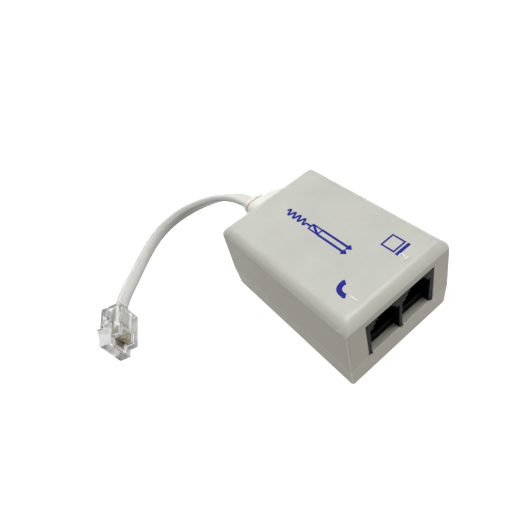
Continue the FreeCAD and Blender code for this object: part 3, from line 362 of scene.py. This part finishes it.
def section_points():
    """The cord's section: two flats joined by half rounds, as pairs along its width and its thickness."""
    radius = CORD_THICKNESS / 2
    flat = CORD_WIDTH / 2 - radius
    points = []
    for side, first in ((1, -90), (-1, 90)):
        for step in range(SECTION_STEPS + 1):
            angle = math.radians(first + 180 * step / SECTION_STEPS)
            points.append((side * flat + radius * math.cos(angle), radius * math.sin(angle)))
    return points


def flat_cord():
    """The cord's section carried along its line and turned on the way, with closed ends."""
    line = cord_line()
    runs = [(b - a).length for a, b in zip(line, line[1:])]
    whole = sum(runs)
    section = section_points()
    count = len(section)
    vertices, faces = [], []
    covered = 0
    for k, middle in enumerate(line):
        ahead = (line[min(k + 1, len(line) - 1)] - line[max(k - 1, 0)]).normalized()
        level = UP.cross(ahead).normalized()
        rise = ahead.cross(level)
        turn = twist_at(covered / whole)
        wide = level * math.cos(turn) + rise * math.sin(turn)
        thin = ahead.cross(wide)
        vertices += [middle + wide * a + thin * b for a, b in section]
        covered += runs[k] if k < len(runs) else 0
    for k in range(len(line) - 1):
        for i in range(count):
            j = (i + 1) % count
            faces.append((k * count + i, k * count + j, (k + 1) * count + j, (k + 1) * count + i))
    faces.append(tuple(range(count))[::-1])
    faces.append(tuple((len(line) - 1) * count + i for i in range(count)))
    mesh = bpy.data.meshes.new("flat_cord_twisted")
    mesh.from_pydata(vertices, [], faces)
    piece = bpy.data.objects.new("flat_cord_twisted", mesh)
    bpy.context.scene.collection.objects.link(piece)
    for face in mesh.polygons:
        face.use_smooth = len(face.vertices) == 4
    mesh.materials.append(CORD)
    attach(piece, "root")
    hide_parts("flat_cord")


flat_cord()


# Tan ring in the groove of the boot: a painted shadow line where the groove lies in shade

RING_MIDDLE = (0.8 * MM, 34.6 * MM, 14.2 * MM)
RING_SIZE = (7.95 * MM, 0.75 * MM, 5.63 * MM)
RING_SOFTNESS = 2.3 * MM
RING_WALL = 0.9 * MM
RING_CORNER_STEPS = 8
END_FACE_NORMAL = 0.9
SMOOTH_BELOW = math.radians(40)


def boot_groove_shadow():
    """A short tan sleeve round the boot that paints the groove's shadow line: a block with rounded edges,
    open at both ends, with a wall inwards.
    """
    bpy.ops.mesh.primitive_cube_add(size=1)
    ring = bpy.context.object
    ring.name = "boot_groove_shadow"
    ring.data.transform(Matrix.Translation(RING_MIDDLE) @ Matrix.Diagonal((*RING_SIZE, 1)))
    bpy.ops.object.mode_set(mode="EDIT")
    bpy.ops.mesh.select_mode(type="EDGE")
    bpy.ops.mesh.select_all(action="DESELECT")
    bpy.ops.object.mode_set(mode="OBJECT")
    for edge in ring.data.edges:
        first, last = (ring.data.vertices[k].co for k in edge.vertices)
        edge.select = abs(first.y - last.y) > RING_SIZE[1] / 2
    bpy.ops.object.mode_set(mode="EDIT")
    bpy.ops.mesh.bevel(offset=RING_SOFTNESS, segments=RING_CORNER_STEPS)
    bpy.ops.mesh.select_mode(type="FACE")
    bpy.ops.mesh.select_all(action="DESELECT")
    bpy.ops.object.mode_set(mode="OBJECT")
    for face in ring.data.polygons:
        face.select = abs(face.normal.y) > END_FACE_NORMAL
    bpy.ops.object.mode_set(mode="EDIT")
    bpy.ops.mesh.delete(type="ONLY_FACE")
    bpy.ops.object.mode_set(mode="OBJECT")
    wall = ring.modifiers.new("wall", "SOLIDIFY")
    wall.thickness = RING_WALL
    only(ring)
    bpy.ops.object.modifier_apply(modifier=wall.name)
    bpy.ops.object.shade_smooth_by_angle(angle=SMOOTH_BELOW)
    ring.data.materials.append(GROOVE_SHADOW)
    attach(ring, "root")


boot_groove_shadow()


# Printed signs on the top

TOP_LEVEL = CAD_BOX[1][2]
INK_THICKNESS = 0.03 * MM
SIGN_STROKE = 0.68 * MM
STROKE_ROUNDNESS = 4


def ink_stroke(name, points, width=SIGN_STROKE, closed=False):
    """A printed line through these places on the top, with round ends, as a thin flat mesh."""
    curve = bpy.data.curves.new(name, "CURVE")
    curve.dimensions = "3D"
    curve.bevel_depth = width / 2
    curve.bevel_resolution = STROKE_ROUNDNESS
    curve.use_fill_caps = True
    spline = curve.splines.new("POLY")
    spline.points.add(len(points) - 1)
    for point, (x, y) in zip(spline.points, points):
        point.co = (x, y, 0, 1)
    spline.use_cyclic_u = closed
    stroke = bpy.data.objects.new(name, curve)
    bpy.context.scene.collection.objects.link(stroke)
    only(stroke)
    bpy.ops.object.convert(target="MESH")
    stroke = bpy.context.object
    flatten = Matrix.Translation((0, 0, TOP_LEVEL)) @ Matrix.Diagonal((1, 1, INK_THICKNESS / width, 1))
    stroke.data.transform(flatten)
    return stroke


def merged(name, pieces):
    """Joins these pieces into one and names it."""
    bpy.ops.object.select_all(action="DESELECT")
    for piece in pieces:
        piece.select_set(True)
    bpy.context.view_layer.objects.active = pieces[0]
    bpy.ops.object.join()
    whole = bpy.context.object
    whole.name = name
    return whole


SIGN_LINE_X = -0.5 * MM
SIGN_BACK_Y = 14.4 * MM
SIGN_FRONT_Y = -9.0 * MM
SIGN_HALF_WIDTH = 0.95 * MM
WAVES = 4
WAVE_LENGTH = 2.0 * MM
WAVE_STEPS = 12
FILTER_BOX_Y = (4.6 * MM, 1.2 * MM)
ARROW_REACH = 1.1 * MM
ARROW_HALF_WIDTH = 0.75 * SIGN_HALF_WIDTH


def divider_sign():
    """A line that swings in waves, enters a small box and leaves it as two arrows."""
    count = WAVES * WAVE_STEPS
    wave = [(SIGN_LINE_X + SIGN_HALF_WIDTH * math.sin(2 * math.pi * k / WAVE_STEPS),
             SIGN_BACK_Y - k * WAVE_LENGTH / WAVE_STEPS) for k in range(count + 1)]
    back, front = FILTER_BOX_Y
    low, high = SIGN_LINE_X - SIGN_HALF_WIDTH, SIGN_LINE_X + SIGN_HALF_WIDTH
    strokes = [ink_stroke("sign_wave", wave + [(SIGN_LINE_X, back)]),
               ink_stroke("sign_box", [(low, back), (high, back), (high, front), (low, front)], closed=True),
               ink_stroke("sign_slash", [(low, front), (high, back)])]
    for x in (low, high):
        strokes.append(ink_stroke("sign_branch", [(x, front), (x, SIGN_FRONT_Y)]))
        tail = SIGN_FRONT_Y + ARROW_REACH
        arrow = [(x - ARROW_HALF_WIDTH, tail), (x, SIGN_FRONT_Y), (x + ARROW_HALF_WIDTH, tail)]
        strokes.append(ink_stroke("sign_arrow", arrow))
    return strokes


SCREEN_X = (6.3 * MM, 10.4 * MM)
SCREEN_Y = (-17.2 * MM, -13.5 * MM)
SCREEN_FOOT_X = (5.9 * MM, 10.7 * MM)
SCREEN_FOOT_Y = -18.3 * MM
SCREEN_FOOT_STROKE = 0.85 * MM


def screen_sign():
    """A monitor seen from the front: an empty square over a straight foot."""
    (left, right), (low, high) = SCREEN_X, SCREEN_Y
    frame_line = [(left, low), (right, low), (right, high), (left, high)]
    foot_line = [(x, SCREEN_FOOT_Y) for x in SCREEN_FOOT_X]
    return [ink_stroke("screen_frame", frame_line, closed=True),
            ink_stroke("screen_foot", foot_line, SCREEN_FOOT_STROKE)]


HANDSET_ENDS = ((-8.2 * MM, -14.95 * MM), (-10.75 * MM, -17.5 * MM))
HANDSET_BULGE = 0.95 * MM
HANDSET_GRIP_STROKE = 1.35 * MM
HANDSET_CUP_STROKE = 1.5 * MM
HANDSET_CUP_LENGTH = 1.2 * MM
HANDSET_CUP_LEAN = 0.25
HANDSET_CUP_OVERLAP = 0.4
HANDSET_STEPS = 12


def handset_sign():
    """A telephone handset: a bowed grip between two thick cups that point away from the bow."""
    first, last = (Vector(end) for end in HANDSET_ENDS)
    along = (last - first).normalized()
    bow = Vector((along.y, -along.x))
    grip = []
    for k in range(HANDSET_STEPS + 1):
        share = k / HANDSET_STEPS
        grip.append(first.lerp(last, share) + bow * HANDSET_BULGE * math.sin(math.pi * share))
    strokes = [ink_stroke("handset_grip", [tuple(place) for place in grip], HANDSET_GRIP_STROKE)]
    for end, lean in ((first, -HANDSET_CUP_LEAN), (last, HANDSET_CUP_LEAN)):
        reach = (-bow + along * lean).normalized() * HANDSET_CUP_LENGTH / 2
        cup = [tuple(end - reach * HANDSET_CUP_OVERLAP), tuple(end + reach)]
        strokes.append(ink_stroke("handset_cup", cup, HANDSET_CUP_STROKE))
    return strokes


def printed_signs():
    """The three signs as one printed piece."""
    signs = merged("printed_signs", divider_sign() + screen_sign() + handset_sign())
    signs.data.materials.clear()
    signs.data.materials.append(INK)
    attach(signs, "root")


printed_signs()


# Raised numerals in front of the signs, one for each socket

NUMERAL_HEIGHT = 2.2 * MM
NUMERAL_RELIEF = 0.12 * MM
NUMERAL_EDGE = NUMERAL_RELIEF / 4
DIGIT_TO_LETTER_SIZE = 0.7
NUMERAL_Y = -20.9 * MM
NUMERAL_X = {"1": -9.8 * MM, "2": 6.6 * MM}


def raised_numeral(digit, x):
    """A numeral that stands a little proud of the top."""
    bpy.ops.object.text_add(location=(0, 0, 0))
    text = bpy.context.object
    text.data.body = digit
    text.data.size = NUMERAL_HEIGHT / DIGIT_TO_LETTER_SIZE
    text.data.extrude = NUMERAL_RELIEF
    text.data.bevel_depth = NUMERAL_EDGE
    text.data.align_x = "CENTER"
    only(text)
    bpy.ops.object.convert(target="MESH")
    numeral = bpy.context.object
    numeral.name = f"numeral_{digit}"
    numeral.data.transform(Matrix.Translation((x, NUMERAL_Y, TOP_LEVEL)))
    numeral.data.materials.clear()
    numeral.data.materials.append(EMBOSSED)
    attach(numeral, "root")


for numeral_digit, numeral_x in NUMERAL_X.items():
    raised_numeral(numeral_digit, numeral_x)


# Floor and light: a pale floor that glows a little, like a light table, so that it keeps hardly any shadow

FLOOR_SIZE = 4
FLOOR_COLOUR = (0.3, 0.3, 0.3)
FLOOR_ROUGHNESS = 0.9
FLOOR_SHINE = 0.1
FLOOR_GLOW = 0.8
WORLD_STRENGTH = 0.08
WHITE = (1, 1, 1)
WARM = (1, 0.93, 0.84)
# Name, place, target, size in metres, watts and colour of each softbox
SOFTBOXES = [
    ("softbox_above", (0.12, 0.0, 0.54), (0, 0.01, 0), 0.3, 2.1, WHITE),
    ("softbox_front", (0.14, -0.42, 0.36), (0, -0.02, 0.01), 0.3, 0.15, WARM),
    ("softbox_behind", (0.02, 0.45, 0.3), (0, 0.01, 0.01), 0.4, 0.8, WHITE),
]


def add_floor():
    bpy.ops.mesh.primitive_plane_add(size=FLOOR_SIZE)
    floor = bpy.context.object
    floor.name = "floor"
    material, _, shader, _ = shade("floor_white")
    shader.inputs["Base Color"].default_value = (*FLOOR_COLOUR, 1)
    shader.inputs["Roughness"].default_value = FLOOR_ROUGHNESS
    shader.inputs["Emission Color"].default_value = (*WHITE, 1)
    shader.inputs["Emission Strength"].default_value = FLOOR_GLOW
    shader.inputs["Specular IOR Level"].default_value = FLOOR_SHINE
    floor.data.materials.append(material)


def add_softbox(name, place, target, size, watts, colour):
    bpy.ops.object.light_add(type="AREA", location=place)
    lamp = bpy.context.object
    lamp.name = name
    lamp.data.size = size
    lamp.data.energy = watts
    lamp.data.color = colour
    lamp.rotation_euler = (Vector(target) - Vector(place)).to_track_quat("-Z", "Y").to_euler()


def add_world():
    world = bpy.data.worlds.new("studio")
    world.use_nodes = True
    background = world.node_tree.nodes["Background"]
    background.inputs["Color"].default_value = (*WHITE, 1)
    background.inputs["Strength"].default_value = WORLD_STRENGTH
    bpy.context.scene.world = world


add_floor()
for softbox in SOFTBOXES:
    add_softbox(*softbox)
add_world()
bpy.context.scene.view_settings.view_transform = "Standard"
bpy.context.scene.view_settings.look = "Medium High Contrast"
